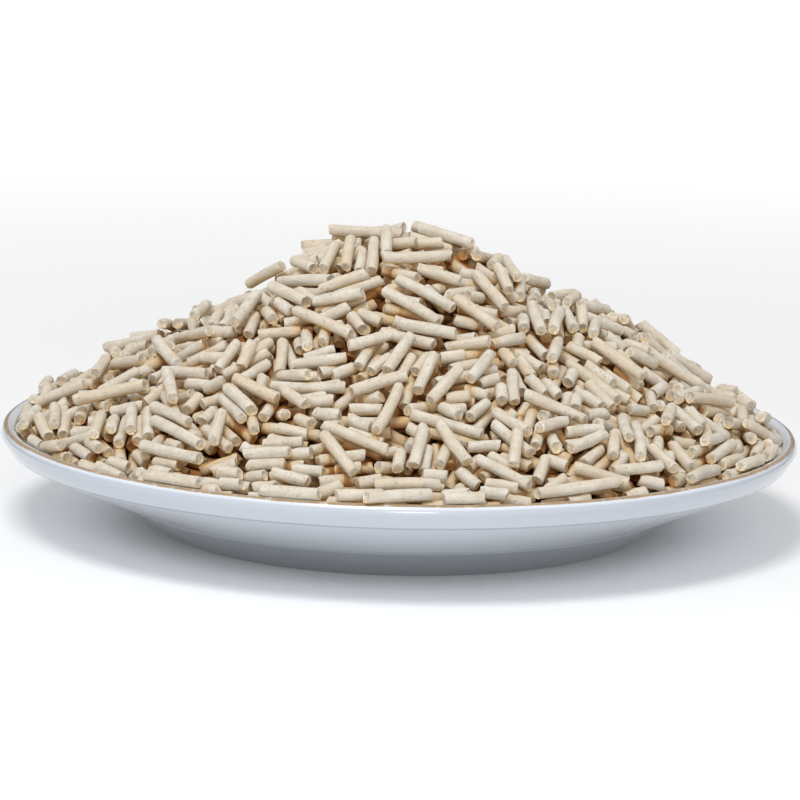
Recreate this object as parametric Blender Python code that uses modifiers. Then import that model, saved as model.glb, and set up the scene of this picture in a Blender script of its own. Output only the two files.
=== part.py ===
"""A shallow glazed plate heaped with pellets of cat litter. Metres, +Z up.

The origin is the centre of the plate's foot, on the surface that the plate stands on.
"""
import math
import random

import bmesh
import bpy
from mathutils import Vector

# Plate
PLATE_RADIUS = 0.1015
RIM_HEIGHT = 0.0257
WIDEST_HEIGHT = 0.0235
LIP_WIDTH = 0.0018
CREASE_RADIUS = 0.0992
CREASE_HEIGHT = 0.0197
FOOT_TOP_RADIUS = 0.0730
FOOT_TOP_HEIGHT = 0.0082
FOOT_RADIUS = 0.0615
FOOT_WIDTH = 0.0040
FOOT_DRAFT = 0.0012
FOOT_RECESS = 0.0025
WALL = 0.0040
PLATE_SEGMENTS = 64

# Heap
CLEARANCE = 0.0003
TOE_BELOW_RIM = 0.0017
REPOSE_SLOPE = 0.55
CROWN_RADIUS = 0.0110
CROWN_FLATNESS = 5.0
HEAP_RINGS = 7
RING_SPACING = 1.4
HEAP_SEGMENTS = 28

# Pellets
PELLET_RADIUS = 0.0016
PELLET_LENGTH = 0.0125
LENGTH_SPREAD = 0.0030
SHORTEST_PELLET = 0.0075
LONGEST_PELLET = 0.0190
BEDDED_PLACES = 520
BEDDED_SIDES = 5
BEDDED_DEPTH = 0.0008
BEDDED_LEAN = 0.08
BEDDED_TRIES = 16
LOOSE_COUNT = 54
LOOSE_SIDES = 6
LOOSE_TRIES = 5
LOOSE_SCATTER = 0.0060
SEED = 11

GOLDEN_ANGLE = math.pi * (3 - math.sqrt(5))
LIP_STEPS = 3
LIP_CHECKS = 12
ROOM_STEPS = 4
MERGE_DISTANCE = 0.00001
SHARP_ANGLE = math.radians(50)


def clear_scene():
    for thing in list(bpy.data.objects):
        bpy.data.objects.remove(thing)


def new_collection(name):
    collection = bpy.data.collections.new(name)
    bpy.context.scene.collection.children.link(collection)
    return collection


def material(name, colour, roughness, metallic=0.0):
    made = bpy.data.materials.new(name)
    made.use_nodes = True
    shader = made.node_tree.nodes["Principled BSDF"]
    shader.inputs["Base Color"].default_value = (*colour, 1.0)
    shader.inputs["Roughness"].default_value = roughness
    shader.inputs["Metallic"].default_value = metallic
    made.diffuse_color = (*colour, 1.0)
    return made


def cone_normal():
    """The way up and inwards from the plate's conical body, as (radius, height)."""
    run = CREASE_RADIUS - FOOT_TOP_RADIUS
    rise = CREASE_HEIGHT - FOOT_TOP_HEIGHT
    length = math.hypot(run, rise)
    return -rise / length, run / length


def inner_crease():
    """The foot of the lip's inner side, one wall in from the outer crease."""
    inwards, upwards = cone_normal()
    return CREASE_RADIUS + WALL * inwards, CREASE_HEIGHT + WALL * upwards


def well_slope():
    return (CREASE_HEIGHT - FOOT_TOP_HEIGHT) / (CREASE_RADIUS - FOOT_TOP_RADIUS)


def floor_height():
    return FOOT_RECESS + WALL


def well_height(radius):
    """Height of the plate's inner surface at a distance from the axis."""
    crease_radius, crease_height = inner_crease()
    cone = crease_height - (crease_radius - radius) * well_slope()
    return max(floor_height(), cone)


def floor_radius():
    crease_radius, crease_height = inner_crease()
    return crease_radius - (crease_height - floor_height()) / well_slope()


def quarter_arc(start, end, steps):
    """Points after the start of a quarter ellipse that leaves it level and ends upright."""
    points = []
    for step in range(1, steps + 1):
        angle = math.pi / 2 * step / steps
        radius = start[0] + (end[0] - start[0]) * math.sin(angle)
        height = end[1] + (start[1] - end[1]) * math.cos(angle)
        points.append((radius, height))
    return points


def lip_top():
    return PLATE_RADIUS - LIP_WIDTH, RIM_HEIGHT


def plate_profile():
    """Half section of the plate: over the well, up the lip, down the outside, under the foot."""
    inner_lip = quarter_arc(lip_top(), inner_crease(), LIP_STEPS)
    outer_lip = quarter_arc(lip_top(), (PLATE_RADIUS, WIDEST_HEIGHT), LIP_STEPS)
    points = [(0.0, floor_height()), (floor_radius(), floor_height())]
    points += reversed(inner_lip)
    points.append(lip_top())
    points += outer_lip
    points += [
        (CREASE_RADIUS, CREASE_HEIGHT),
        (FOOT_TOP_RADIUS, FOOT_TOP_HEIGHT),
        (FOOT_RADIUS, 0.0),
        (FOOT_RADIUS - FOOT_WIDTH, 0.0),
        (FOOT_RADIUS - FOOT_WIDTH - FOOT_DRAFT, FOOT_RECESS),
        (0.0, FOOT_RECESS),
    ]
    return points


def toe_radius():
    """Where the heap's surface ends, just inside the lip."""
    return inner_crease()[0] - 2 * CLEARANCE


def crowned(radius):
    """A distance from the axis, eased off towards the axis so that the cone gets a flat crown."""
    return (radius ** CROWN_FLATNESS + CROWN_RADIUS ** CROWN_FLATNESS) ** (1 / CROWN_FLATNESS)


def surface_height(radius):
    """Height of the mound at a distance from its axis: a cone with a flat crown."""
    return RIM_HEIGHT - TOE_BELOW_RIM + REPOSE_SLOPE * (crowned(toe_radius()) - crowned(radius))


def surface_slope(radius):
    return -REPOSE_SLOPE * (radius / crowned(radius)) ** (CROWN_FLATNESS - 1)


def heap_profile():
    """Half section of the mound: down its surface, then back under it along the well."""
    points = []
    for ring in range(HEAP_RINGS + 1):
        radius = toe_radius() * (ring / HEAP_RINGS) ** RING_SPACING
        points.append((radius, surface_height(radius)))
    lift = CLEARANCE * math.hypot(1.0, well_slope())
    points.append((toe_radius(), well_height(toe_radius()) + lift))
    points.append((floor_radius(), floor_height() + lift))
    points.append((0.0, floor_height() + lift))
    return points


def turned(name, profile, segments, collection):
    """A closed body turned from a half section that starts and ends on the axis."""
    mesh = bpy.data.meshes.new(name)
    edges = [(index, index + 1) for index in range(len(profile) - 1)]
    mesh.from_pydata([(radius, 0.0, height) for radius, height in profile], edges, [])
    made = bpy.data.objects.new(name, mesh)
    collection.objects.link(made)
    screw = made.modifiers.new("Turn", "SCREW")
    screw.steps = segments
    screw.render_steps = segments
    screw.use_merge_vertices = True
    screw.merge_threshold = MERGE_DISTANCE
    screw.use_smooth_shade = False
    return made


def pellet_length(rng):
    return min(max(rng.gauss(PELLET_LENGTH, LENGTH_SPREAD), SHORTEST_PELLET), LONGEST_PELLET)


def spread_place(index, count, radius):
    """The place of one of many points spread evenly over a disc."""
    out = radius * math.sqrt((index + 0.5) / count)
    angle = index * GOLDEN_ANGLE
    return out * math.cos(angle), out * math.sin(angle)


def bedded_pellet(x, y, heading, length, lean):
    """Both ends of a pellet that lies along the mound's surface, its underside sunk in it."""
    radius = math.hypot(x, y)
    down = (x * math.cos(heading) + y * math.sin(heading)) / max(radius, PELLET_RADIUS)
    rise = surface_slope(radius) * down + lean
    direction = Vector((math.cos(heading), math.sin(heading), rise)).normalized()
    lift = (PELLET_RADIUS - BEDDED_DEPTH) * math.hypot(1.0, surface_slope(radius))
    middle = Vector((x, y, surface_height(radius) + lift))
    return middle - direction * length / 2, middle + direction * length / 2


def clears_plate(pellet):
    """True where both ends of a pellet stand clear of the plate's well and lip."""
    for end in pellet:
        reach = math.hypot(end.x, end.y) + PELLET_RADIUS
        if reach > toe_radius():
            return False
        if end.z - PELLET_RADIUS < well_height(reach) + CLEARANCE:
            return False
    return True


def distance_to_axis(point, pellet):
    """Distance from a point to a pellet's axis."""
    start, end = pellet
    axis = end - start
    share = min(max((point - start).dot(axis) / axis.length_squared, 0.0), 1.0)
    return (point - start - share * axis).length


def room_beside(pellet, near):
    """Least distance between a pellet's axis and those of its neighbours."""
    spots = [pellet[0].lerp(pellet[1], share / ROOM_STEPS) for share in range(ROOM_STEPS + 1)]
    return min((distance_to_axis(spot, other) for spot in spots for other in near), default=math.inf)


def bedded_pellets(rng):
    """The mound's surface layer: at each place, the pellet of a few tries that has most room."""
    pellets = []
    for index in range(BEDDED_PLACES):
        place = spread_place(index, BEDDED_PLACES, toe_radius())
        length = pellet_length(rng)
        near = [other for other in pellets if math.dist(other[0].xy, place) < 2 * LONGEST_PELLET]
        best, best_room = None, 2 * PELLET_RADIUS + CLEARANCE
        for _ in range(BEDDED_TRIES):
            x, y = place
            heading = rng.uniform(0.0, math.pi)
            lean = rng.gauss(0.0, BEDDED_LEAN)
            pellet = bedded_pellet(x, y, heading, length, lean)
            while not clears_plate(pellet):
                inwards = 1 - PELLET_RADIUS / 2 / math.hypot(x, y)
                x, y = x * inwards, y * inwards
                pellet = bedded_pellet(x, y, heading, length, lean)
            room = room_beside(pellet, near)
            if room > best_room:
                best, best_room = pellet, room
        if best:
            pellets.append(best)
    return pellets


def height_over(pellet, x, y, reach):
    """Height over a pellet's axis, at (x, y), of the point that lies one reach away from it."""
    start, end = pellet
    axis = end - start
    length = axis.length
    axis = axis / length
    across, along = x - start.x, y - start.y
    flat = across * axis.x + along * axis.y
    square = 1 - axis.z ** 2
    half = flat * axis.z
    rest = across ** 2 + along ** 2 - flat ** 2 - reach ** 2
    inside = half ** 2 - square * rest
    best = -math.inf
    if inside >= 0:
        height = (half + math.sqrt(inside)) / square
        if 0 <= flat + height * axis.z <= length:
            best = start.z + height
    for tip in pellet:
        room = reach ** 2 - (x - tip.x) ** 2 - (y - tip.y) ** 2
        if room > 0:
            best = max(best, tip.z + math.sqrt(room))
    return best


def height_over_lip(radius, reach):
    """Height over the lip, at a distance from the plate's axis, of the point one reach away."""
    if radius > lip_top()[0]:
        return RIM_HEIGHT + reach
    best = -math.inf
    for out, height in quarter_arc(lip_top(), inner_crease(), LIP_CHECKS):
        room = reach ** 2 - (radius - out) ** 2
        if room > 0:
            best = max(best, height + math.sqrt(room))
    return best


def floor_under(x, y, near):
    """Lowest height at (x, y) for a loose pellet's axis, over the mound, the lip and the pellets."""
    radius = math.hypot(x, y)
    reach = PELLET_RADIUS + CLEARANCE
    mound = surface_height(radius) + reach * math.hypot(1.0, surface_slope(radius))
    height = max(mound, height_over_lip(radius, reach))
    for pellet in near:
        height = max(height, height_over(pellet, x, y, 2 * PELLET_RADIUS + CLEARANCE))
    return height


def resting_pellet(x, y, heading, length, laid):
    """Both ends of a pellet let down here until it bridges its two highest supports."""
    reach = length + LONGEST_PELLET
    near = [other for other in laid if math.hypot(other[0].x - x, other[0].y - y) < reach]
    steps = math.ceil(length / PELLET_RADIUS)
    spots = [length / 2 * step / steps for step in range(-steps, steps + 1)]
    way = Vector((math.cos(heading), math.sin(heading), 0.0))
    heights = [floor_under(x + way.x * spot, y + way.y * spot, near) for spot in spots]
    best, rise = -math.inf, 0.0
    for left in range(steps):
        for right in range(steps + 1, 2 * steps + 1):
            slope = (heights[right] - heights[left]) / (spots[right] - spots[left])
            height = heights[left] - slope * spots[left]
            if height > best:
                best, rise = height, slope
    middle = Vector((x, y, max(best, heights[steps])))
    direction = Vector((way.x, way.y, rise)).normalized()
    return middle - direction * length / 2, middle + direction * length / 2


def loose_pellets(rng, bedded):
    """The pellets that lie on top, one after another, each on the lowest of a few tries."""
    laid = list(bedded)
    pellets = []
    for index in range(LOOSE_COUNT):
        length = pellet_length(rng)
        limit = PLATE_RADIUS - PELLET_RADIUS - length / 2
        x, y = spread_place(index, LOOSE_COUNT, limit)
        best, best_rise = None, math.inf
        for _ in range(LOOSE_TRIES):
            inwards = 1 - rng.uniform(0.0, LOOSE_SCATTER) / limit
            turn = rng.uniform(-LOOSE_SCATTER, LOOSE_SCATTER) / limit
            near_x = inwards * (x * math.cos(turn) - y * math.sin(turn))
            near_y = inwards * (x * math.sin(turn) + y * math.cos(turn))
            pellet = resting_pellet(near_x, near_y, rng.uniform(0.0, math.pi), length, laid)
            middle = (pellet[0] + pellet[1]) / 2
            rise = middle.z - surface_height(math.hypot(near_x, near_y))
            if rise < best_rise:
                best, best_rise = pellet, rise
        laid.append(best)
        pellets.append(best)
    return pellets


def add_pellet(bm, pellet, sides):
    """One prism from end to end of a pellet, with flat broken ends."""
    axis = pellet[1] - pellet[0]
    made = bmesh.ops.create_cone(
        bm, cap_ends=True, segments=sides, radius1=PELLET_RADIUS, radius2=PELLET_RADIUS, depth=axis.length
    )
    turn = Vector((0.0, 0.0, 1.0)).rotation_difference(axis).to_matrix().to_4x4()
    bmesh.ops.transform(bm, matrix=turn, verts=made["verts"])
    bmesh.ops.translate(bm, vec=(pellet[0] + pellet[1]) / 2, verts=made["verts"])


def prisms(name, pellets, sides, collection):
    bm = bmesh.new()
    for pellet in pellets:
        add_pellet(bm, pellet, sides)
    mesh = bpy.data.meshes.new(name)
    bm.to_mesh(mesh)
    bm.free()
    made = bpy.data.objects.new(name, mesh)
    collection.objects.link(made)
    return made


def loose_pellet(name, pellet, collection):
    """A loose pellet as an object with its origin at its own middle."""
    middle = (pellet[0] + pellet[1]) / 2
    made = prisms(name, [(pellet[0] - middle, pellet[1] - middle)], LOOSE_SIDES, collection)
    made.location = middle
    made.data.shade_smooth()
    made.data.set_sharp_from_angle(angle=SHARP_ANGLE)
    return made


def main():
    clear_scene()
    parts = new_collection("plate_of_cat_litter_pellets")
    cutters = new_collection("cutters")
    glaze = material("white_glaze", (0.80, 0.80, 0.84), 0.12)
    litter = material("litter_pellet", (0.73, 0.62, 0.44), 0.85)

    plate = turned("plate", plate_profile(), PLATE_SEGMENTS, parts)
    plate.data.materials.append(glaze)

    rng = random.Random(SEED)
    bedded = bedded_pellets(rng)
    layer = prisms("bedded_pellets", bedded, BEDDED_SIDES, cutters)
    layer.hide_render = True
    layer.display_type = "WIRE"

    heap = turned("litter_heap", heap_profile(), HEAP_SEGMENTS, parts)
    heap.data.materials.append(litter)
    union = heap.modifiers.new("Bedded pellets", "BOOLEAN")
    union.operation = "UNION"
    union.solver = "EXACT"
    union.use_self = True
    union.object = layer

    for index, pellet in enumerate(loose_pellets(rng, bedded), 1):
        made = loose_pellet(f"pellet_{index:02d}", pellet, parts)
        made.data.materials.append(litter)


main()
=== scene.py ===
"""Looks of the shallow plate heaped with litter pellets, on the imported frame."""

import math
import random

import bmesh
import bpy
import numpy as np
from mathutils import Matrix, Vector


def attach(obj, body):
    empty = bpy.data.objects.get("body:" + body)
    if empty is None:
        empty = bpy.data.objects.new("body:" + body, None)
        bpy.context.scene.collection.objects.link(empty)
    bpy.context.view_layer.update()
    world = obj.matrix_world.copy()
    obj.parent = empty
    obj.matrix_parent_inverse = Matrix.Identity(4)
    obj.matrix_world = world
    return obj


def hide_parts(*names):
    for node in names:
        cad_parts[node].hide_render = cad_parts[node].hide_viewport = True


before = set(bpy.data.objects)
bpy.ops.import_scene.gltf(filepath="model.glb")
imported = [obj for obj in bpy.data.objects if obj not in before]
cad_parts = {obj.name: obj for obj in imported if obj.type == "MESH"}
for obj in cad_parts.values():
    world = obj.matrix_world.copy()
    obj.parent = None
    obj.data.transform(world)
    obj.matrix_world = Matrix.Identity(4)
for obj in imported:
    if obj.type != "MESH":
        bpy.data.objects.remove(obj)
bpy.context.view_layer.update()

MM = 0.001

# Plate, as the solid has it
PLATE_RADIUS = 101.5 * MM
RIM_HEIGHT = 25.7 * MM
WIDEST_HEIGHT = 23.5 * MM
LIP_WIDTH = 1.8 * MM
CREASE_RADIUS = 99.2 * MM
CREASE_HEIGHT = 19.7 * MM
FOOT_TOP_RADIUS = 73.0 * MM
FOOT_TOP_HEIGHT = 8.2 * MM
FOOT_RADIUS = 61.5 * MM
FOOT_WIDTH = 4.0 * MM
FOOT_RECESS = 2.5 * MM
RECESS_RUN = 1.2 * MM
WALL = 4.0 * MM

# Plate's finer shape
PLATE_SEGMENTS = 240
PLATE_SHARP_DEGREES = 40
ARC_STEPS = 8
LIP_STEPS = 12
MERGE_DISTANCE = 0.005 * MM
FOOT_EDGE = 0.7 * MM
FOOT_INNER_EDGE = 0.5 * MM
GROOVE_WIDTH = 0.6 * MM
GROOVE_DEPTH = 0.25 * MM

# Plate's looks: each pair is where something starts and where it is full
LINE_RADIUS = 100.22 * MM
LINE_WIDTH = 1.05 * MM
LINE_EDGES = (0.35 * LINE_WIDTH, 0.62 * LINE_WIDTH)
LINE_WANDER = 0.6 * MM
LINE_HEIGHTS = (24.6 * MM, 25.0 * MM)
# Painted shade on the plate: where it darkens the foot, the outer band under the lip and the two
# creases
FOOT_HEIGHTS = (7.4 * MM, 8.6 * MM)
BAND_BOTTOM = (19.5 * MM, 19.9 * MM)
BAND_TOP = (24.4 * MM, 25.2 * MM)
BAND_INNER = (CREASE_RADIUS - 1.4 * MM, CREASE_RADIUS - 0.7 * MM)
CREASE_EDGES = (0.40 * GROOVE_WIDTH, 0.80 * GROOVE_WIDTH)

# Mound, as the solid has it
TOE_GAP = 0.6 * MM
TOE_BELOW_RIM = 1.7 * MM
REPOSE_SLOPE = 0.55
CROWN_RADIUS = 11.0 * MM
CROWN_FLATNESS = 5.0

# Pellets: a pair holds the least and the most
PELLET_RADIUS = 1.6 * MM
THICKNESSES = (0.91, 1.01)
PELLET_LENGTH = 13.5 * MM
LENGTH_SPREAD = 3.6 * MM
SHORTEST_PELLET = 6.0 * MM
LONGEST_PELLET = 21.0 * MM
LENGTH_STEPS = 10
SHAPES_PER_LENGTH = 5
PELLET_SIDES = 8
PELLET_SHARP_DEGREES = 62
BEND = 0.5 * MM
BEND_SHARES = (0.1, 1.0)
DENT = 0.045
MIDDLE_SIZES = (0.95, 1.04)
QUARTER_PLACES = (0.22, 0.30)
QUARTER_SIZES = (0.94, 1.03)
SHOULDER_SIZES = (0.95, 1.02)
EDGE_SIZES = (0.84, 0.96)
END_ROUNDING = 0.5 * MM
END_ROUGHNESS = 0.20 * MM
END_SLANT = 0.25
HOLLOW_DEPTHS = (0.02 * MM, 0.50 * MM)
HOLLOW_SHARES = (0.30, 0.60)
# How dark the painted shade in each broken end's hollow centre is
CENTRE_SHADES = (0.2, 1.0)
SHADE = 0.18
SHADE_SPREAD = 0.20
DARKEST_SHADE = 0.8

# The poured heap's surface over the mound
TOP_OVER_MOUND = 2.9 * MM
CROWN_FILL = 2.0 * MM
CROWN_FILL_RADIUS = 15.0 * MM
CROWN_FILL_SPREAD = 10.0 * MM
SWELL = 1.1 * MM
SWELL_LENGTH = 21.0 * MM
SWELL_STRETCHES = (0.8, 2.0)
SWELL_WAVES = 9
# Fuller and lower places, in mm: x, y, how far each spreads in x and in y, and its height
FILLS = (
    (56.0, 4.0, 14.0, 26.0, 4.2),
    (-21.0, 0.0, 5.0, 14.0, 2.6),
    (16.0, 0.0, 5.0, 12.0, 2.5),
    (64.0, 0.0, 4.0, 10.0, 2.0),
    (-74.0, 0.0, 4.0, 10.0, 3.6),
    (-45.0, 0.0, 20.0, 16.0, -1.6),
    (79.0, 0.0, 8.0, 14.0, -2.4),
    (98.0, -8.0, 4.5, 30.0, -3.2),
)

# The dark body under the poured pellets, painted shade where the gaps between them end
LAYER_DEPTH = 7.5 * MM
DEPTH_RADIUS = 92.0 * MM
DEPTH_GAP = 0.3 * MM
DEPTH_RINGS = 24
DEPTH_SEGMENTS = 96

# Pouring, level by level under the heap's surface
LEVELS = (-6.2 * MM, -5.0 * MM, -4.0 * MM, -3.1 * MM, -2.3 * MM, -1.5 * MM, -0.7 * MM, 0.0)
LONG_TRIES = 1700
SHORT_TRIES = 2600
PROUD_TRIES = 2000
PIT_LEVELS = (-3.0 * MM, -1.6 * MM, -0.6 * MM)
PIT_TRIES = 3500
SHORT_SHARE = 0.60
STUB_SHARE = 0.45
HOLE_UPDATE = 50
CANDIDATES = 32
REFINEMENTS = 2
REFINED = 4
LAST_PICKS = 6
SHIFT = 3.0 * MM
TURN_SHIFT = 0.15
PROUD = 0.85 * MM
MOST_PROUD = 5 * PROUD
STEEPEST = 1.1
STEEPEST_STUB = 1.8
TOO_STEEP_RISE = 1.0
POUR_RADIUS = PLATE_RADIUS - 3.0 * MM
OVERHANG = 0.8 * MM
REST_STEPS = 8
KEPT_SPOTS = 9
DOWNHILL_SHARE = 0.40
DOWNHILL_SPREAD = 0.50
ACROSS_SHARE = 0.30
ACROSS_SPREAD = 0.45
ACROSS_FROM = 62 * MM
SINK = 0.91
CELL = 0.4 * MM
MAP_HALF = 106 * MM
LOOKS = 12
LOOK_REACHES = (0.9 * MM, 1.8 * MM, 3.0 * MM, 4.8 * MM)
PELLETS_PER_PIECE = 1300
SEED = 15

# Light
CEILING = (1.0, 1.0, 1.0)
CEILING_FROM = 0.75
HORIZON = (0.28, 0.29, 0.32)
HORIZON_TO = 0.05
SKY_STRENGTH = 0.68
KEY_PLACE = (-0.22, -0.70, 1.28)
KEY_AIM = (0.0, 0.0, 0.03)
KEY_SIZE = 0.5
KEY_POWER = 9.6
GLOW_PLACE = (0.1, -1.3, 0.5)
GLOW_AIM = (0.0, 0.0, 0.02)
GLOW_SIZE = 0.3
GLOW_POWER = 2.3
WHITE = (1.0, 1.0, 1.0)
COOL = (0.93, 0.95, 1.0)

# Floor
FLOOR_RADIUS = 6.0
FLOOR_SEGMENTS = 96
FLOOR_GLOW_REACH = (0.10, 1.30)

# Camera
CAMERA_DISTANCE = 1.0
CAMERA_BASE = 12.0 * MM
CAMERA_ELEVATION = math.radians(11.5)
CAMERA_PITCH = math.radians(10.374)
CAMERA_ROLL = math.radians(1.36)
CAMERA_CLIP = 0.01
SENSOR_WIDTH = 36.0
LENS = 175.4

rng = random.Random(SEED)


class Value:
    """A shader socket in Python expressions: each operation on it adds a Math node."""

    def __init__(self, finish, socket):
        self.finish = finish
        self.socket = socket

    def other(self, name):
        return Value(self.finish, self.socket.node.outputs[name])

    def math(self, operation, *values):
        settings = {"operation": operation}
        return self.finish.node("ShaderNodeMath", "Value", settings, dict(enumerate(values)))

    def __add__(self, value):
        return self.math("ADD", self, value)

    def __sub__(self, value):
        return self.math("SUBTRACT", self, value)

    def __rsub__(self, value):
        return self.math("SUBTRACT", value, self)

    def __mul__(self, value):
        return self.math("MULTIPLY", self, value)

    def __pow__(self, value):
        return self.math("POWER", self, value)

    __radd__ = __add__

    def between(self, low, high):
        """0 at low, 1 at high, eased in between."""
        settings = {"interpolation_type": "SMOOTHSTEP"}
        inputs = {"Value": self, "From Min": low, "From Max": high}
        return self.finish.node("ShaderNodeMapRange", "Result", settings, inputs)


class Finish:
    """A material whose nodes are added by one method."""

    def __init__(self, name):
        self.material = bpy.data.materials.new(name)
        self.material.use_nodes = True
        self.tree = self.material.node_tree
        self.surface = self.tree.nodes["Principled BSDF"]

    def plug(self, socket, value):
        if isinstance(value, Value):
            self.tree.links.new(value.socket, socket)
        else:
            socket.default_value = value

    def node(self, kind, output, settings=None, inputs=None):
        """Adds a node, sets it up, then sets or links its inputs. Returns one of its outputs."""
        made = self.tree.nodes.new(kind)
        for name, setting in (settings or {}).items():
            setattr(made, name, setting)
        for name, value in (inputs or {}).items():
            self.plug(made.inputs[name], value)
        return Value(self, made.outputs[output])

    def mix(self, share, first, second, blend="MIX"):
        """Mixes two colours."""
        settings = {"data_type": "RGBA", "blend_type": blend, "clamp_factor": True}
        made = self.node("ShaderNodeMix", 2, settings)
        sockets = made.socket.node.inputs
        self.plug(sockets[0], share)
        self.plug(sockets[6], first)
        self.plug(sockets[7], second)
        return made

    def noise(self, place, scale, detail=3.0, roughness=0.55):
        inputs = {"Vector": place, "Scale": scale, "Detail": detail, "Roughness": roughness}
        return self.node("ShaderNodeTexNoise", "Fac", {}, inputs)

    def bump(self, height, distance, strength=1.0):
        inputs = {"Height": height, "Distance": distance, "Strength": strength}
        return self.node("ShaderNodeBump", "Normal", {}, inputs)

    def attribute(self, name, output):
        return self.node("ShaderNodeAttribute", output, {"attribute_name": name})

    def set(self, **values):
        """Sets or links the surface's own sockets, named with underscores for spaces."""
        for name, value in values.items():
            self.plug(self.surface.inputs[name.replace("_", " ")], value)
        return self.material


def colour(red, green, blue):
    return (red, green, blue, 1.0)


def litter_finish():
    """Matt cream plant fibre, different on each pellet, with painted shade: browner and darker
    where the heap hides the sky.
    """
    finish = Finish("litter_pellet")
    grain = finish.attribute("grain", "Vector")
    shade = finish.attribute("shade", "Fac")
    broken = finish.attribute("broken", "Fac")
    centre = finish.attribute("centre", "Fac")
    hidden = finish.attribute("hidden", "Fac")
    stretch = {0: grain, 1: (1.0, 1.0, 0.22)}
    along = finish.node("ShaderNodeVectorMath", "Vector", {"operation": "MULTIPLY"}, stretch)
    streaks = finish.noise(along, 900.0, 3.0, 0.6)
    clouds = finish.noise(grain, 260.0, 3.0, 0.6)
    specks = finish.noise(grain, 1500.0, 2.0, 0.5).between(0.60, 0.72)
    patches = clouds.between(0.30, 0.72)
    pale = finish.mix(patches, colour(0.65, 0.575, 0.46), colour(0.765, 0.71, 0.61))
    toned = finish.mix(shade, pale, colour(0.70, 0.56, 0.38))
    streaked = finish.mix(streaks.between(0.42, 0.75) * 0.35, toned, colour(0.90, 0.86, 0.77))
    speckled = finish.mix(specks * 0.40, streaked, colour(0.40, 0.28, 0.16))
    crumbs = finish.noise(grain, 1100.0, 2.0, 0.6).between(0.35, 0.62)
    pale_end = finish.mix(crumbs, colour(0.70, 0.60, 0.46), colour(0.92, 0.88, 0.78))
    # Painted shade: the hollow centre of each broken end is darker, by a different amount on each
    # end.
    end_colour = finish.mix(centre * 0.6, pale_end, colour(0.46, 0.38, 0.29))
    whole = finish.mix(broken, speckled, end_colour)
    # Painted shade: the colour is warmed, then darkened, where the heap hides the sky, most deeply
    # in the gaps.
    shaded, deep = hidden.between(0.45, 0.95), hidden.between(0.88, 1.0)
    painted_warm_shade = finish.mix(shaded, whole, colour(0.98, 0.83, 0.57), "MULTIPLY")
    painted_deep_shade = finish.mix(deep, painted_warm_shade, colour(0.60, 0.33, 0.13), "MULTIPLY")
    height = streaks * 0.6 + clouds * 0.8 - specks * 0.5
    return finish.set(
        Base_Color=painted_deep_shade,
        Roughness=0.78 + clouds * 0.14,
        Normal=finish.bump(height, 0.25 * MM, 0.75),
        Specular_IOR_Level=0.3,
    )


def gap_shade_finish():
    """Painted shade: a dark brown body where the gaps between the pellets end."""
    finish = Finish("painted_gap_shade")
    place = finish.node("ShaderNodeTexCoord", "Object")
    crumbs = finish.noise(place, 700.0, 3.0, 0.6)
    paler = crumbs.between(0.3, 0.7)
    return finish.set(
        Base_Color=finish.mix(paler, colour(0.10, 0.03, 0.008), colour(0.26, 0.11, 0.035)),
        Roughness=0.95,
        Normal=finish.bump(crumbs, 1.2 * MM),
    )


def glaze_finish():
    """Glossy bluish-white glaze with a thin gold-brown line along the top of the lip, and painted
    shade: darker over the foot, on the outer band and in the two creases.
    """
    finish = Finish("white_glaze")
    place = finish.node("ShaderNodeTexCoord", "Object")
    across = finish.node("ShaderNodeSeparateXYZ", "X", {}, {0: place})
    along, height = across.other("Y"), across.other("Z")
    radius = (across ** 2.0 + along ** 2.0) ** 0.5
    wander = finish.noise(place, 60.0, 2.0, 0.5) * LINE_WANDER
    offset = radius + wander - (LINE_RADIUS + LINE_WANDER / 2)
    offset = offset.math("ABSOLUTE", offset)
    wear = finish.noise(place, 420.0, 3.0, 0.6).between(0.22, 0.46)
    line = (1 - offset.between(*LINE_EDGES)) * height.between(*LINE_HEIGHTS) * wear
    cloud = finish.noise(place, 30.0, 2.0, 0.5)
    white = finish.mix(cloud, colour(0.77, 0.82, 0.89), colour(0.81, 0.86, 0.92))
    # Painted shade: the glaze is darker over the foot.
    foot_shade = height.between(*FOOT_HEIGHTS)
    painted_shade = finish.mix(foot_shade, colour(0.43, 0.43, 0.43), colour(1.0, 1.0, 1.0))
    outside = radius.between(*BAND_INNER)
    # Painted shade: the outer band under the lip is a little darker.
    band = height.between(*BAND_BOTTOM) * (1 - height.between(*BAND_TOP)) * outside
    painted_shade = finish.mix(band, painted_shade, colour(0.75, 0.755, 0.77))
    # Painted shade: a dark line in each of the two creases.
    corners = ((CREASE_RADIUS, CREASE_HEIGHT), (FOOT_TOP_RADIUS, FOOT_TOP_HEIGHT))
    for corner_radius, corner_height in corners:
        away = ((height - corner_height) ** 2.0 + (radius - corner_radius) ** 2.0) ** 0.5
        crease = 1 - away.between(*CREASE_EDGES)
        painted_shade = finish.mix(crease, painted_shade, colour(0.50, 0.53, 0.57))
    white = finish.mix(1.0, white, painted_shade, "MULTIPLY")
    spots = finish.noise(place, 300.0)
    gold = finish.mix(spots, colour(0.25, 0.15, 0.07), colour(0.55, 0.37, 0.18))
    ripple = finish.noise(place, 22.0, 2.0, 0.5)
    return finish.set(
        Base_Color=finish.mix(line, white, gold),
        Roughness=0.16 + line * 0.22,
        Normal=finish.bump(ripple, 0.5 * MM, 0.35),
        Coat_Weight=0.6,
        Coat_Roughness=0.05,
    )


def cone_normal():
    run = CREASE_RADIUS - FOOT_TOP_RADIUS
    rise = CREASE_HEIGHT - FOOT_TOP_HEIGHT
    length = math.hypot(run, rise)
    return -rise / length, run / length


def inner_crease():
    inwards, upwards = cone_normal()
    return CREASE_RADIUS + WALL * inwards, CREASE_HEIGHT + WALL * upwards


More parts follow.
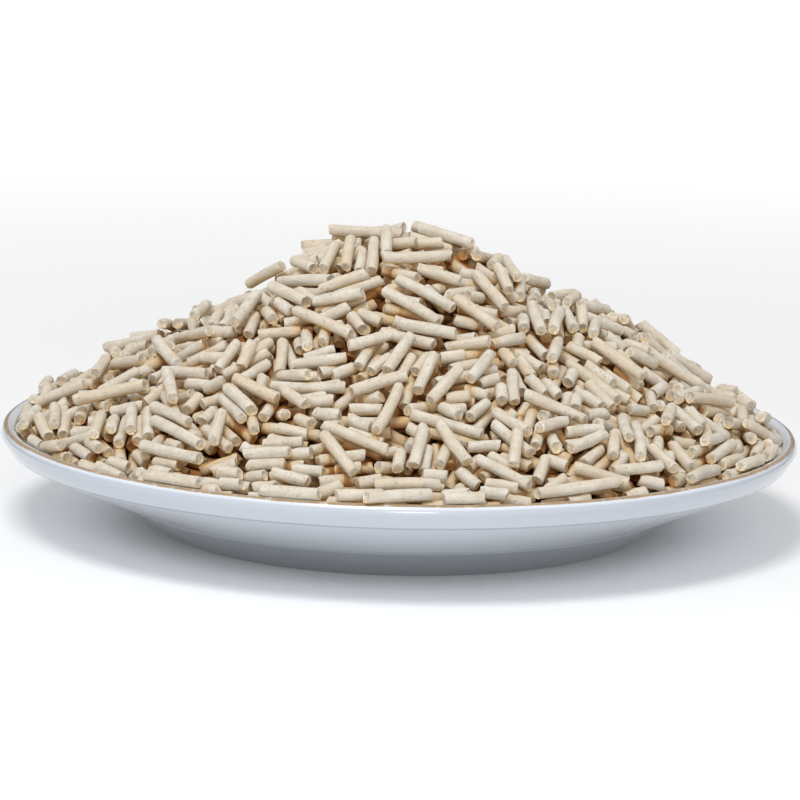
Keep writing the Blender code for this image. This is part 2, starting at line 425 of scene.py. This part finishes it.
def well_slope():
    return (CREASE_HEIGHT - FOOT_TOP_HEIGHT) / (CREASE_RADIUS - FOOT_TOP_RADIUS)


def floor_height():
    return FOOT_RECESS + WALL


def floor_radius():
    crease_radius, crease_height = inner_crease()
    return crease_radius - (crease_height - floor_height()) / well_slope()


def quarter_arc(start, end, steps):
    """Points after the start of a quarter ellipse that leaves it level and ends upright."""
    points = []
    for step in range(1, steps + 1):
        angle = math.pi / 2 * step / steps
        radius = start[0] + (end[0] - start[0]) * math.sin(angle)
        height = end[1] + (start[1] - end[1]) * math.cos(angle)
        points.append((radius, height))
    return points


def eased_corner(before, corner, after, reach, steps=4):
    """A corner of a section, rounded off over a reach to either side."""
    corner = Vector(corner)
    start = corner + (Vector(before) - corner).normalized() * reach
    end = corner + (Vector(after) - corner).normalized() * reach
    points = []
    for step in range(steps + 1):
        share = step / steps
        points.append(tuple(start.lerp(corner, share).lerp(corner.lerp(end, share), share)))
    return points


def grooved_corner(before, corner, after, inwards):
    """A corner of a section with a fine groove turned in it."""
    corner = Vector(corner)
    start = corner + (Vector(before) - corner).normalized() * GROOVE_WIDTH / 2
    end = corner + (Vector(after) - corner).normalized() * GROOVE_WIDTH / 2
    bottom = corner + Vector(inwards).normalized() * GROOVE_DEPTH
    return [tuple(start), tuple(bottom), tuple(end)]


def plate_profile():
    """Half section of the plate from the well's centre over the lip to the centre underneath."""
    lip_top = (PLATE_RADIUS - LIP_WIDTH, RIM_HEIGHT)
    widest = (PLATE_RADIUS, WIDEST_HEIGHT)
    crease = (CREASE_RADIUS, CREASE_HEIGHT)
    foot_top = (FOOT_TOP_RADIUS, FOOT_TOP_HEIGHT)
    foot = (FOOT_RADIUS, 0.0)
    foot_inner = (FOOT_RADIUS - FOOT_WIDTH, 0.0)
    recess = (foot_inner[0] - RECESS_RUN, FOOT_RECESS)
    points = [(0.0, floor_height()), (floor_radius(), floor_height())]
    points += reversed(quarter_arc(lip_top, inner_crease(), ARC_STEPS))
    points.append(lip_top)
    points += quarter_arc(lip_top, widest, ARC_STEPS)
    points += grooved_corner(widest, crease, foot_top, (-0.7, 0.7))
    points += grooved_corner(crease, foot_top, foot, (-0.3, 1.0))
    points += eased_corner(foot_top, foot, foot_inner, FOOT_EDGE)
    points += eased_corner(foot, foot_inner, recess, FOOT_INNER_EDGE)
    points += [recess, (0.0, FOOT_RECESS)]
    return points


def turned(name, profile, segments):
    """A smooth closed body turned from a half section that starts and ends on the axis."""
    bm = bmesh.new()
    corners = [bm.verts.new((radius, 0.0, height)) for radius, height in profile]
    edges = [bm.edges.new(pair) for pair in zip(corners, corners[1:])]
    bmesh.ops.spin(
        bm,
        geom=corners + edges,
        axis=(0, 0, 1),
        cent=(0, 0, 0),
        angle=2 * math.pi,
        steps=segments,
        use_merge=True,
    )
    bmesh.ops.remove_doubles(bm, verts=bm.verts, dist=MERGE_DISTANCE)
    bmesh.ops.recalc_face_normals(bm, faces=bm.faces)
    mesh = bpy.data.meshes.new(name)
    bm.to_mesh(mesh)
    bm.free()
    mesh.shade_smooth()
    mesh.set_sharp_from_angle(angle=math.radians(PLATE_SHARP_DEGREES))
    return linked(name, mesh)


def linked(name, data):
    made = bpy.data.objects.new(name, data)
    bpy.context.scene.collection.objects.link(made)
    return made


def toe_radius():
    return inner_crease()[0] - TOE_GAP


def crowned(radius):
    return (radius ** CROWN_FLATNESS + CROWN_RADIUS ** CROWN_FLATNESS) ** (1 / CROWN_FLATNESS)


def mound_height(radius):
    """Height of the solid mound at a distance from the axis, also for arrays."""
    return RIM_HEIGHT - TOE_BELOW_RIM + REPOSE_SLOPE * (crowned(toe_radius()) - crowned(radius))


def mound_slope(radius):
    return -REPOSE_SLOPE * (radius / crowned(radius)) ** (CROWN_FLATNESS - 1)


def poured_height(x, y):
    """Height of the poured heap: the mound with a fuller crown and the other fills."""
    radius = np.hypot(x, y)
    height = mound_height(radius) + TOP_OVER_MOUND
    height = height + CROWN_FILL * np.exp(-((radius - CROWN_FILL_RADIUS) / CROWN_FILL_SPREAD) ** 2)
    for place_x, place_y, spread_x, spread_y, fill in FILLS:
        away = ((x / MM - place_x) / spread_x) ** 2 + ((y / MM - place_y) / spread_y) ** 2
        height = height + fill * MM * np.exp(-away)
    return height


def depth_profile():
    """Half section of the dark body of painted shade under the poured pellets."""
    points = []
    for ring in range(DEPTH_RINGS + 1):
        radius = DEPTH_RADIUS * ring / DEPTH_RINGS
        height = max(mound_height(radius) - LAYER_DEPTH, plate_inside(radius) + DEPTH_GAP)
        points.append((radius, height))
    points.append((floor_radius(), floor_height() + DEPTH_GAP))
    points.append((0.0, floor_height() + DEPTH_GAP))
    return points


def plate_inside(radius):
    """Height of the plate's inner surface at a distance from the axis."""
    crease_radius, crease_height = inner_crease()
    return max(floor_height(), crease_height - (crease_radius - radius) * well_slope())


def lip_section():
    """The plate's inner surface from the well's edge to the widest point, as dense points."""
    radii = np.arange(0.0, inner_crease()[0], 0.5 * MM)
    section = [(radius, plate_inside(radius)) for radius in radii]
    lip_top = (PLATE_RADIUS - LIP_WIDTH, RIM_HEIGHT)
    section += quarter_arc(lip_top, inner_crease(), LIP_STEPS)
    section.append(lip_top)
    section += quarter_arc(lip_top, (PLATE_RADIUS, WIDEST_HEIGHT), LIP_STEPS)
    return np.array(section)


class Pour:
    """Pellets let down one by one on a map of the lowest place for the next one's axis."""

    def __init__(self, kept):
        count = int(2 * MAP_HALF / CELL) + 1
        steps = np.linspace(-MAP_HALF, MAP_HALF, count)
        self.grid_x, self.grid_y = np.meshgrid(steps, steps, indexing="ij")
        self.count = count
        self.radius = np.hypot(self.grid_x, self.grid_y)
        self.low = self.empty_map()
        self.cover = np.zeros_like(self.radius)
        self.goal = poured_height(self.grid_x, self.grid_y) - PELLET_RADIUS + self.swell_map()
        self.kept = np.array([np.concatenate(pellet) for pellet in kept])
        for pellet in kept:
            self.raise_map(self.cover, *pellet, PELLET_RADIUS)
        self.pellets = []

    def empty_map(self):
        """The lowest axis heights over the dark body and the plate, before any pellet."""
        body = mound_height(self.radius) - LAYER_DEPTH
        body = body + PELLET_RADIUS * np.hypot(1.0, mound_slope(self.radius))
        section = lip_section()
        radii = np.arange(0.0, 1.5 * MAP_HALF, 0.2 * MM)
        gap = radii[:, None] - section[None, :, 0]
        room = PELLET_RADIUS ** 2 - gap ** 2
        over = np.where(room > 0, section[None, :, 1] + np.sqrt(np.maximum(room, 0)), 0.0)
        body = np.where(self.radius < toe_radius(), body, 0.0)
        return np.maximum(body, np.interp(self.radius, radii, over.max(axis=1)))

    def swell_map(self):
        """Slow rises and hollows over the heap."""
        waves = np.zeros_like(self.radius)
        for _ in range(SWELL_WAVES):
            heading = rng.uniform(0, 2 * math.pi)
            length = SWELL_LENGTH * rng.uniform(*SWELL_STRETCHES)
            phase = rng.uniform(0, 2 * math.pi)
            along = self.grid_x * math.cos(heading) + self.grid_y * math.sin(heading)
            waves += np.sin(2 * math.pi * along / length + phase) / math.sqrt(SWELL_WAVES)
        return SWELL * waves

    def cell(self, values):
        return np.clip(np.rint((values + MAP_HALF) / CELL).astype(int), 0, self.count - 1)

    def rest(self, x, y, heading, length):
        """Resting heights and slopes of pellets, each on the two highest supports under it."""
        middle = REST_STEPS
        spots = np.linspace(-length / 2, length / 2, 2 * REST_STEPS + 1)
        spot_x = x[:, None] + np.cos(heading)[:, None] * spots
        spot_y = y[:, None] + np.sin(heading)[:, None] * spots
        heights = self.low[self.cell(spot_x), self.cell(spot_y)]
        left, right = heights[:, :middle, None], heights[:, None, middle + 1:]
        left_at, right_at = spots[:middle, None], spots[None, middle + 1:]
        slopes = (right - left) / (right_at - left_at)
        bridged = (left - slopes * left_at).reshape(len(x), -1)
        pick = bridged.argmax(axis=1)
        rows = np.arange(len(x))
        height = np.maximum(bridged[rows, pick], heights[:, middle])
        return height, slopes.reshape(len(x), -1)[rows, pick]

    def headings(self, x, y, count):
        """Random headings: some run downhill, and near the rim more and more run across."""
        downhill = math.atan2(y, x)
        near_rim = (math.hypot(x, y) - ACROSS_FROM) / (PLATE_RADIUS - ACROSS_FROM)
        near_rim = min(max(near_rim, 0.0), 1.0)
        picks = []
        for _ in range(count):
            chance = rng.random()
            if chance < ACROSS_SHARE * near_rim:
                picks.append(downhill + math.pi / 2 + rng.gauss(0, ACROSS_SPREAD))
            elif chance < ACROSS_SHARE * near_rim + DOWNHILL_SHARE * (1 - near_rim):
                picks.append(downhill + rng.gauss(0, DOWNHILL_SPREAD))
            else:
                picks.append(rng.uniform(0, math.pi))
        return np.array(picks)

    def ends(self, middle, heading, slope, length):
        direction = np.array([math.cos(heading), math.sin(heading), slope])
        direction /= np.linalg.norm(direction)
        middle = np.array(middle)
        return middle - direction * length / 2, middle + direction * length / 2

    def clear_of_kept(self, start, end):
        """True where a pellet keeps clear of the loose pellets, whose places are fixed."""
        spots = start + np.linspace(0, 1, KEPT_SPOTS)[:, None] * (end - start)
        first, second = self.kept[None, :, :3], self.kept[None, :, 3:]
        axis = second - first
        share = ((spots[:, None] - first) * axis).sum(axis=2) / (axis ** 2).sum(axis=2)
        nearest = first + np.clip(share, 0, 1)[:, :, None] * axis
        return np.linalg.norm(spots[:, None] - nearest, axis=2).min() > 2 * PELLET_RADIUS * SINK

    def drop(self, x, y, length, level, steepest=STEEPEST):
        """Lets one pellet down near here on the lowest of many tries, or gives up."""
        xs = x + np.array([rng.uniform(-SHIFT, SHIFT) for _ in range(CANDIDATES)])
        ys = y + np.array([rng.uniform(-SHIFT, SHIFT) for _ in range(CANDIDATES)])
        headings = self.headings(x, y, CANDIDATES)
        reach = SHIFT / 3
        copies = CANDIDATES // REFINED
        for turn in range(REFINEMENTS + 1):
            heights, slopes = self.rest(xs, ys, headings, length)
            rise = heights - self.goal[self.cell(xs), self.cell(ys)]
            rise = rise + np.where(np.abs(slopes) > steepest, TOO_STEEP_RISE, 0.0)
            order = np.argsort(rise)
            if turn < REFINEMENTS:
                best = np.repeat(order[:REFINED], copies)
                jitter = np.array([[rng.gauss(0, 1) for _ in range(3)] for _ in best])
                jitter[::copies] = 0
                xs = xs[best] + jitter[:, 0] * reach
                ys = ys[best] + jitter[:, 1] * reach
                headings = headings[best] + jitter[:, 2] * TURN_SHIFT
                reach /= 2
        for pick in order[:LAST_PICKS]:
            if rise[pick] > level:
                return
            middle = (xs[pick], ys[pick], heights[pick])
            start, end = self.ends(middle, headings[pick], slopes[pick], length)
            farthest = max(math.hypot(*start[:2]), math.hypot(*end[:2]))
            if farthest < PLATE_RADIUS + OVERHANG and self.clear_of_kept(start, end):
                self.lay(start, end)
                return

    def raise_map(self, heights, start, end, reach):
        """Raises a map to the points that lie one reach above a pellet's axis."""
        low_x, high_x = sorted((start[0], end[0]))
        low_y, high_y = sorted((start[1], end[1]))
        rows = slice(int(self.cell(low_x - reach)), int(self.cell(high_x + reach)) + 1)
        columns = slice(int(self.cell(low_y - reach)), int(self.cell(high_y + reach)) + 1)
        x, y = self.grid_x[rows, columns], self.grid_y[rows, columns]
        over = height_over(start, end, x, y, reach)
        heights[rows, columns] = np.maximum(heights[rows, columns], over)

    def lay(self, start, end):
        self.pellets.append((start, end))
        self.raise_map(self.low, start, end, 2 * PELLET_RADIUS * SINK)
        self.raise_map(self.cover, start, end, PELLET_RADIUS)

    def hidden(self, places):
        """How much of the sky the heap hides from each place, from 0 to 1."""
        x, y, z = places.T
        seen = np.zeros(len(places))
        for look in range(LOOKS):
            angle = 2 * math.pi * look / LOOKS
            steepest = np.zeros(len(places))
            for reach in LOOK_REACHES:
                rows = self.cell(x + reach * math.cos(angle))
                columns = self.cell(y + reach * math.sin(angle))
                over = self.cover[rows, columns]
                steepest = np.maximum(steepest, (over - z) / reach)
            seen += 1 / (1 + steepest ** 2)
        return 1 - seen / LOOKS

    def fill_holes(self, level, share, tries, steepest=STEEPEST):
        """Drops pellets where the heap still lies far enough under this level of its surface."""
        for turn in range(tries):
            if turn % HOLE_UPDATE == 0:
                holes = (self.low < self.goal + level) & (self.radius < POUR_RADIUS)
                rows, columns = np.nonzero(holes)
            pick = rng.randrange(len(rows))
            place = self.grid_x[rows[pick], columns[pick]], self.grid_y[rows[pick], columns[pick]]
            self.drop(*place, random_length(share), level, steepest)

    def fill(self):
        """Pours the heap up to its surface, with shorter pellets in the holes that are left."""
        for level in LEVELS:
            self.fill_holes(level, 1.0, LONG_TRIES)
            self.fill_holes(level, SHORT_SHARE, SHORT_TRIES)
        for level in PIT_LEVELS:
            self.fill_holes(level, STUB_SHARE, PIT_TRIES, STEEPEST_STUB)
        for _ in range(PROUD_TRIES):
            out = POUR_RADIUS * math.sqrt(rng.random())
            angle = rng.uniform(0, 2 * math.pi)
            proud = min(rng.expovariate(1 / PROUD), MOST_PROUD)
            self.drop(out * math.cos(angle), out * math.sin(angle), random_length(), proud)


def height_over(start, end, x, y, reach):
    """Heights at many places of the points that lie one reach above a pellet's axis."""
    axis = end - start
    length = np.linalg.norm(axis)
    axis = axis / length
    across, along = x - start[0], y - start[1]
    flat = across * axis[0] + along * axis[1]
    square = 1 - axis[2] ** 2
    half = flat * axis[2]
    inside = half ** 2 - square * (across ** 2 + along ** 2 - flat ** 2 - reach ** 2)
    height = (half + np.sqrt(np.maximum(inside, 0))) / square
    share = flat + height * axis[2]
    best = np.where((inside >= 0) & (share >= 0) & (share <= length), start[2] + height, 0.0)
    for tip in (start, end):
        room = reach ** 2 - (x - tip[0]) ** 2 - (y - tip[1]) ** 2
        best = np.maximum(best, np.where(room > 0, tip[2] + np.sqrt(np.maximum(room, 0)), 0.0))
    return best


def length_choices():
    spread = LONGEST_PELLET - SHORTEST_PELLET
    return [SHORTEST_PELLET + spread * step / (LENGTH_STEPS - 1) for step in range(LENGTH_STEPS)]


def nearest_length(length):
    """The number of the made length that comes closest."""
    choices = length_choices()
    return min(range(len(choices)), key=lambda index: abs(choices[index] - length))


def random_length(share=1.0):
    wanted = share * rng.gauss(PELLET_LENGTH, LENGTH_SPREAD)
    return length_choices()[nearest_length(wanted)]


def loose_ends(name):
    """Both ends of a loose pellet's axis, read from its solid."""
    places = np.array([vertex.co[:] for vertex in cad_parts[name].data.vertices])
    places = np.unique(places.round(7), axis=0)
    middle = places.mean(axis=0)
    axis = np.linalg.svd(places - middle, full_matrices=False)[2][0]
    reach = np.abs((places - middle) @ axis).max()
    return middle - axis * reach, middle + axis * reach


def pellet_shape(name, length):
    """One pellet along Z: a bent, dented rod with rough, slanted, hollowed broken ends."""
    bm = bmesh.new()
    grain = bm.verts.layers.float_vector.new("grain")
    broken = bm.faces.layers.float.new("broken")
    centre = bm.verts.layers.float.new("centre")
    bend_way = rng.uniform(0, 2 * math.pi)
    bend = BEND * rng.uniform(*BEND_SHARES) * length / LONGEST_PELLET
    thickness = PELLET_RADIUS * rng.uniform(*THICKNESSES)

    def ring(height, sizes, rough=0.0, slant=(0.0, 0.0)):
        radius = thickness * rng.uniform(*sizes)
        corners = []
        for side in range(PELLET_SIDES):
            angle = 2 * math.pi * side / PELLET_SIDES
            out = radius * (1 + rng.uniform(-DENT, DENT))
            x, y = out * math.cos(angle), out * math.sin(angle)
            bow = bend * (1 - (2 * height / length) ** 2)
            z = height + x * slant[0] + y * slant[1] + rng.uniform(-rough, rough)
            x, y = x + bow * math.cos(bend_way), y + bow * math.sin(bend_way)
            corners.append(bm.verts.new((x, y, z)))
        return corners

    def band(lower, upper):
        faces = []
        for side in range(PELLET_SIDES):
            after = (side + 1) % PELLET_SIDES
            faces.append(bm.faces.new((lower[side], lower[after], upper[after], upper[side])))
        return faces

    middle = ring(0.0, MIDDLE_SIZES)
    for way in (-1, 1):
        slant = (rng.uniform(-END_SLANT, END_SLANT), rng.uniform(-END_SLANT, END_SLANT))
        quarter = ring(way * length * rng.uniform(*QUARTER_PLACES), QUARTER_SIZES)
        shoulder = ring(way * (length / 2 - END_ROUNDING), SHOULDER_SIZES)
        edge = ring(way * length / 2, EDGE_SIZES, END_ROUGHNESS, slant)
        hollow = way * (length / 2 - rng.uniform(*HOLLOW_DEPTHS))
        inner = ring(hollow, HOLLOW_SHARES, END_ROUGHNESS / 2, slant)
        band(middle, quarter)
        band(quarter, shoulder)
        band(shoulder, edge)
        ends = band(edge, inner) + [bm.faces.new(inner)]
        for face in ends:
            face[broken] = 1.0
        for vertex in inner:
            # How much painted shade darkens this end's hollow centre
            vertex[centre] = rng.uniform(*CENTRE_SHADES)
    shift = Vector([rng.uniform(-1, 1) for _ in range(3)])
    for vertex in bm.verts:
        vertex[grain] = vertex.co + shift
    bmesh.ops.recalc_face_normals(bm, faces=bm.faces)
    mesh = bpy.data.meshes.new(name)
    bm.to_mesh(mesh)
    bm.free()
    mesh.shade_smooth()
    mesh.set_sharp_from_angle(angle=math.radians(PELLET_SHARP_DEGREES))
    return bpy.data.objects.new(name, mesh)


def pellet_shapes():
    """A collection of pellets in a few lengths, each in a few shapes."""
    shapes = bpy.data.collections.new("pellet_shapes")
    for step, length in enumerate(length_choices()):
        for shape in range(SHAPES_PER_LENGTH):
            shapes.objects.link(pellet_shape(f"shape_{step:02d}_{shape:02d}", length))
    return shapes


def scatter_tree(shapes, finish):
    """Geometry nodes: one of the shapes on each point, turned as the point says, then realized."""
    tree = bpy.data.node_groups.new("scattered_pellets", "GeometryNodeTree")
    tree.interface.new_socket("Geometry", in_out="INPUT", socket_type="NodeSocketGeometry")
    tree.interface.new_socket("Size", in_out="INPUT", socket_type="NodeSocketFloat")
    tree.interface.new_socket("Geometry", in_out="OUTPUT", socket_type="NodeSocketGeometry")

    def add(kind, **settings):
        made = tree.nodes.new(kind)
        for name, setting in settings.items():
            setattr(made, name, setting)
        return made

    inputs = add("NodeGroupInput")
    outputs = add("NodeGroupOutput")
    choice = add("GeometryNodeCollectionInfo", transform_space="ORIGINAL")
    choice.inputs["Collection"].default_value = shapes
    choice.inputs["Separate Children"].default_value = True
    choice.inputs["Reset Children"].default_value = True
    turn = add("GeometryNodeInputNamedAttribute", data_type="FLOAT_VECTOR")
    turn.inputs["Name"].default_value = "turn"
    kind = add("GeometryNodeInputNamedAttribute", data_type="INT")
    kind.inputs["Name"].default_value = "shape"
    points = add("GeometryNodeInstanceOnPoints")
    points.inputs["Pick Instance"].default_value = True
    real = add("GeometryNodeRealizeInstances")
    coat = add("GeometryNodeSetMaterial")
    coat.inputs["Material"].default_value = finish
    links = tree.links
    links.new(inputs.outputs["Geometry"], points.inputs["Points"])
    links.new(choice.outputs["Instances"], points.inputs["Instance"])
    links.new(turn.outputs["Attribute"], points.inputs["Rotation"])
    links.new(kind.outputs["Attribute"], points.inputs["Instance Index"])
    links.new(inputs.outputs["Size"], points.inputs["Scale"])
    links.new(points.outputs["Instances"], real.inputs["Geometry"])
    links.new(real.outputs["Geometry"], coat.inputs["Geometry"])
    links.new(coat.outputs["Geometry"], outputs.inputs["Geometry"])
    return tree


def socket_id(tree, name):
    for item in tree.interface.items_tree:
        if item.name == name and item.in_out == "INPUT":
            return item.identifier
    raise KeyError(name)


def scattered(name, pellets, tree, pour):
    """One plain mesh of pellets from their ends, which knows how far the heap hides each place."""
    mesh = bpy.data.meshes.new(name + "_points")
    middles = [(start + end) / 2 for start, end in pellets]
    mesh.from_pydata([tuple(middle) for middle in middles], [], [])
    turns, kinds, shades = [], [], []
    for start, end in pellets:
        axis = Vector(end - start)
        if rng.random() < 0.5:
            axis = -axis
        roll = Matrix.Rotation(rng.uniform(0, 2 * math.pi), 3, "Z")
        turn = axis.to_track_quat("Z", "Y").to_matrix() @ roll
        turns += turn.to_euler()[:]
        first_shape = nearest_length(axis.length) * SHAPES_PER_LENGTH
        kinds.append(first_shape + rng.randrange(SHAPES_PER_LENGTH))
        shades.append(min(max(rng.gauss(SHADE, SHADE_SPREAD), 0.0), DARKEST_SHADE))
    mesh.attributes.new("turn", "FLOAT_VECTOR", "POINT").data.foreach_set("vector", turns)
    mesh.attributes.new("shape", "INT", "POINT").data.foreach_set("value", kinds)
    mesh.attributes.new("shade", "FLOAT", "POINT").data.foreach_set("value", shades)
    guide = linked(name + "_points", mesh)
    modifier = guide.modifiers.new("Scatter", "NODES")
    modifier.node_group = tree
    modifier[socket_id(tree, "Size")] = 1.0
    graph = bpy.context.evaluated_depsgraph_get()
    made = linked(name, bpy.data.meshes.new_from_object(guide.evaluated_get(graph)))
    bpy.data.objects.remove(guide)
    places = np.empty(3 * len(made.data.vertices))
    made.data.vertices.foreach_get("co", places)
    hidden = pour.hidden(places.reshape(-1, 3)).astype(np.float32)
    made.data.attributes.new("hidden", "FLOAT", "POINT").data.foreach_set("value", hidden)
    return made


def dress(piece, slot, *nodes):
    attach(piece, "root")
    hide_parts(*nodes)


def build_plate():
    plate = turned("glazed_plate", plate_profile(), PLATE_SEGMENTS)
    plate.data.materials.append(glaze_finish())
    dress(plate, "glaze", "plate")


def build_heap():
    """The poured pellets, the dark body of painted shade under them and the loose pellets in their
    fixed places.
    """
    loose_names = sorted(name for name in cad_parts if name.startswith("pellet_"))
    loose = [loose_ends(name) for name in loose_names]
    pour = Pour(loose)
    pour.fill()
    litter = litter_finish()
    tree = scatter_tree(pellet_shapes(), litter)
    # A dark body under the pellets, painted shade where the gaps between them end
    body = turned("heap_depth", depth_profile(), DEPTH_SEGMENTS)
    body.data.materials.append(gap_shade_finish())
    dress(body, "litter", "litter_heap")
    for number, first in enumerate(range(0, len(pour.pellets), PELLETS_PER_PIECE), 1):
        layer = pour.pellets[first:first + PELLETS_PER_PIECE]
        dress(scattered(f"poured_pellets_{number}", layer, tree, pour), "litter", "litter_heap")
    dress(scattered("loose_pellets", loose, tree, pour), "litter", *loose_names)


def build_floor():
    """A pale floor that glows a little further out, so that it fades into a white backdrop."""
    mesh = bpy.data.meshes.new("floor")
    bm = bmesh.new()
    bmesh.ops.create_circle(bm, cap_ends=True, segments=FLOOR_SEGMENTS, radius=FLOOR_RADIUS)
    bm.to_mesh(mesh)
    bm.free()
    floor = linked("floor", mesh)
    finish = Finish("pale_floor")
    place = finish.node("ShaderNodeTexCoord", "Object")
    mottle = finish.noise(place, 3.0, 2.0, 0.5)
    across = finish.node("ShaderNodeSeparateXYZ", "X", {}, {0: place})
    away = (across ** 2.0 + across.other("Y") ** 2.0) ** 0.5
    glow = away.between(*FLOOR_GLOW_REACH)
    finish.set(
        Base_Color=finish.mix(mottle, colour(0.90, 0.90, 0.90), colour(0.93, 0.93, 0.93)),
        Roughness=0.9,
        Emission_Color=finish.mix(glow, colour(0.06, 0.06, 0.06), colour(0.55, 0.55, 0.55)),
        Emission_Strength=1.0,
    )
    mesh.materials.append(finish.material)


def area_light(name, place, aim, size, power, tint):
    data = bpy.data.lights.new(name, "AREA")
    data.shape = "DISK"
    data.size = size
    data.energy = power
    data.color = tint
    light = linked(name, data)
    light.location = place
    light.rotation_euler = (Vector(aim) - Vector(place)).to_track_quat("-Z", "Y").to_euler()


def build_light():
    """A bright soft ceiling over a dim horizon, a key light from above and a low front one."""
    world = bpy.data.worlds.new("studio")
    world.use_nodes = True
    nodes, links = world.node_tree.nodes, world.node_tree.links
    place = nodes.new("ShaderNodeTexCoord")
    split = nodes.new("ShaderNodeSeparateXYZ")
    ramp = nodes.new("ShaderNodeValToRGB")
    low, high = ramp.color_ramp.elements
    low.position, low.color = HORIZON_TO, colour(*HORIZON)
    high.position, high.color = CEILING_FROM, colour(*CEILING)
    links.new(place.outputs["Generated"], split.inputs[0])
    links.new(split.outputs["Z"], ramp.inputs[0])
    links.new(ramp.outputs["Color"], nodes["Background"].inputs["Color"])
    nodes["Background"].inputs["Strength"].default_value = SKY_STRENGTH
    bpy.context.scene.world = world
    area_light("key", KEY_PLACE, KEY_AIM, KEY_SIZE, KEY_POWER, WHITE)
    area_light("rim_glow", GLOW_PLACE, GLOW_AIM, GLOW_SIZE, GLOW_POWER, COOL)


def build_camera():
    """The photograph's view: a long lens, 11.5 degrees above the horizontal, turned a little."""
    data = bpy.data.cameras.new("camera")
    data.sensor_width = SENSOR_WIDTH
    data.lens = LENS
    data.clip_start = CAMERA_CLIP
    camera = linked("camera", data)
    back = CAMERA_DISTANCE * math.cos(CAMERA_ELEVATION)
    up = CAMERA_BASE + CAMERA_DISTANCE * math.sin(CAMERA_ELEVATION)
    camera.location = (0.0, -back, up)
    tip = Matrix.Rotation(math.pi / 2 - CAMERA_PITCH, 3, "X")
    camera.rotation_euler = (tip @ Matrix.Rotation(CAMERA_ROLL, 3, "Z")).to_euler()
    bpy.context.scene.camera = camera


bpy.context.scene.view_settings.view_transform = "Standard"
build_camera()
build_light()
build_floor()
build_plate()
build_heap()
